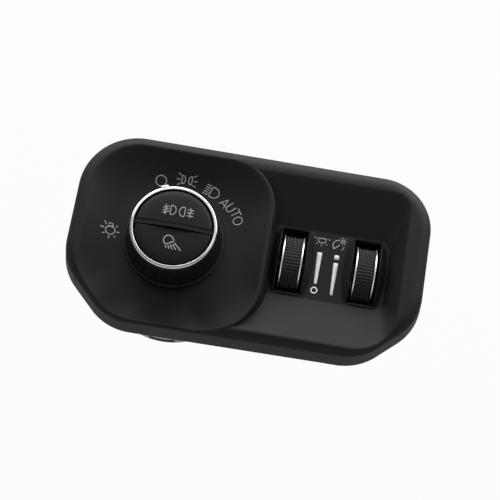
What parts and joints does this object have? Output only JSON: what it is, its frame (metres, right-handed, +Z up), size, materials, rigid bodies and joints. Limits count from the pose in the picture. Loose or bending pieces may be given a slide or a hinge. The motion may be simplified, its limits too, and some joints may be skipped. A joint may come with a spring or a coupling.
{
  "type": "headlight switch",
  "caption": "Dashboard headlight switch: turning lamp knob with two press buttons in its face, in a dished bezel beside a flat well with two thumbwheels.",
  "frame": {"origin": "centre of the bezel's rear rim, on the plane that seats on the dashboard", "axes": "+X to the right of the face, +Y into the dashboard, +Z up as installed"},
  "size_m": [0.1644, 0.076, 0.0909],
  "materials": {
    "bezel_plastic": "fine-grained soft black, matt",
    "key_plastic": "smooth dark grey, matt",
    "knob_plastic": "fluted black, satin",
    "bright_trim": "bright plated",
    "white_plastic": "milky white, translucent look",
    "tread_rubber": "knurled soft tread",
    "housing_plastic": "pale grey moulding",
    "cover_plastic": "black moulding",
    "inner_plastic": "dark grey moulding",
    "natural_plastic": "natural acetal",
    "circuit_board": "green board with solder mask",
    "component_black": "black epoxy",
    "lamp_white": "white lamp body",
    "clear_guide": "clear moulded light guide",
    "contact_metal": "tinned copper alloy",
    "spring_steel": "spring steel",
    "screw_steel": "zinc-plated steel"
  },
  "bodies": {
    "housing": {"bezel": "bezel_plastic", "knob_core": "key_plastic", "fog_switch": "component_black", "cargo_switch": "component_black", "rear_housing": "housing_plastic", "rear_cover": "cover_plastic", "connector_header": "component_black", "connector_terminals": "contact_metal", "main_board": "circuit_board", "board_components": "component_black", "board_lamps": "lamp_white", "button_light_pipes": "clear_guide", "symbol_light_guide": "clear_guide", "detent_spring": "spring_steel", "wheel_cradle": "cover_plastic", "dimmer_board": "circuit_board", "left_potentiometer": "component_black", "right_potentiometer": "component_black", "legend_light_guide": "clear_guide", "legend_lamps": "lamp_white", "housing_screws": "screw_steel", "cradle_screws": "screw_steel", "dashboard_clips": "spring_steel"},
    "knob": {"knob_skirt": "knob_plastic", "knob_ring": "bright_trim", "knob_pointer": "white_plastic", "knob_rotor": "natural_plastic", "wiper_contacts": "contact_metal"},
    "fog_key": {"fog_button": "key_plastic", "fog_plunger": "natural_plastic"},
    "cargo_key": {"cargo_button": "key_plastic", "cargo_plunger": "natural_plastic"},
    "left_wheel": {"left_wheel_hub": "inner_plastic", "left_wheel_bands": "bright_trim", "left_wheel_tread": "tread_rubber", "left_wheel_axle": "inner_plastic"},
    "right_wheel": {"right_wheel_hub": "inner_plastic", "right_wheel_bands": "bright_trim", "right_wheel_tread": "tread_rubber", "right_wheel_axle": "inner_plastic"}
  },
  "joints": [
    {"name": "knob_turn", "type": "hinge", "parent": "housing", "child": "knob", "pos_m": [-0.03375, 0, -0.00185], "axis": [0, 1, 0], "range_deg": [0, 75], "deforming": ["detent_spring"]},
    {"name": "fog_press", "type": "slide", "parent": "housing", "child": "fog_key", "axis": [0, 1, 0], "range_m": [0, 0.0015], "stiffness_N_per_m": 900, "springref_m": -0.0012},
    {"name": "cargo_press", "type": "slide", "parent": "housing", "child": "cargo_key", "axis": [0, 1, 0], "range_m": [0, 0.0015], "stiffness_N_per_m": 900, "springref_m": -0.0012},
    {"name": "left_wheel_turn", "type": "hinge", "parent": "housing", "child": "left_wheel", "pos_m": [0.0205, 0.0004, -0.00065], "axis": [1, 0, 0], "range_deg": [-45, 45]},
    {"name": "right_wheel_turn", "type": "hinge", "parent": "housing", "child": "right_wheel", "pos_m": [0.0541, 0.0004, -0.00065], "axis": [1, 0, 0], "range_deg": [-45, 45]}
  ]
}
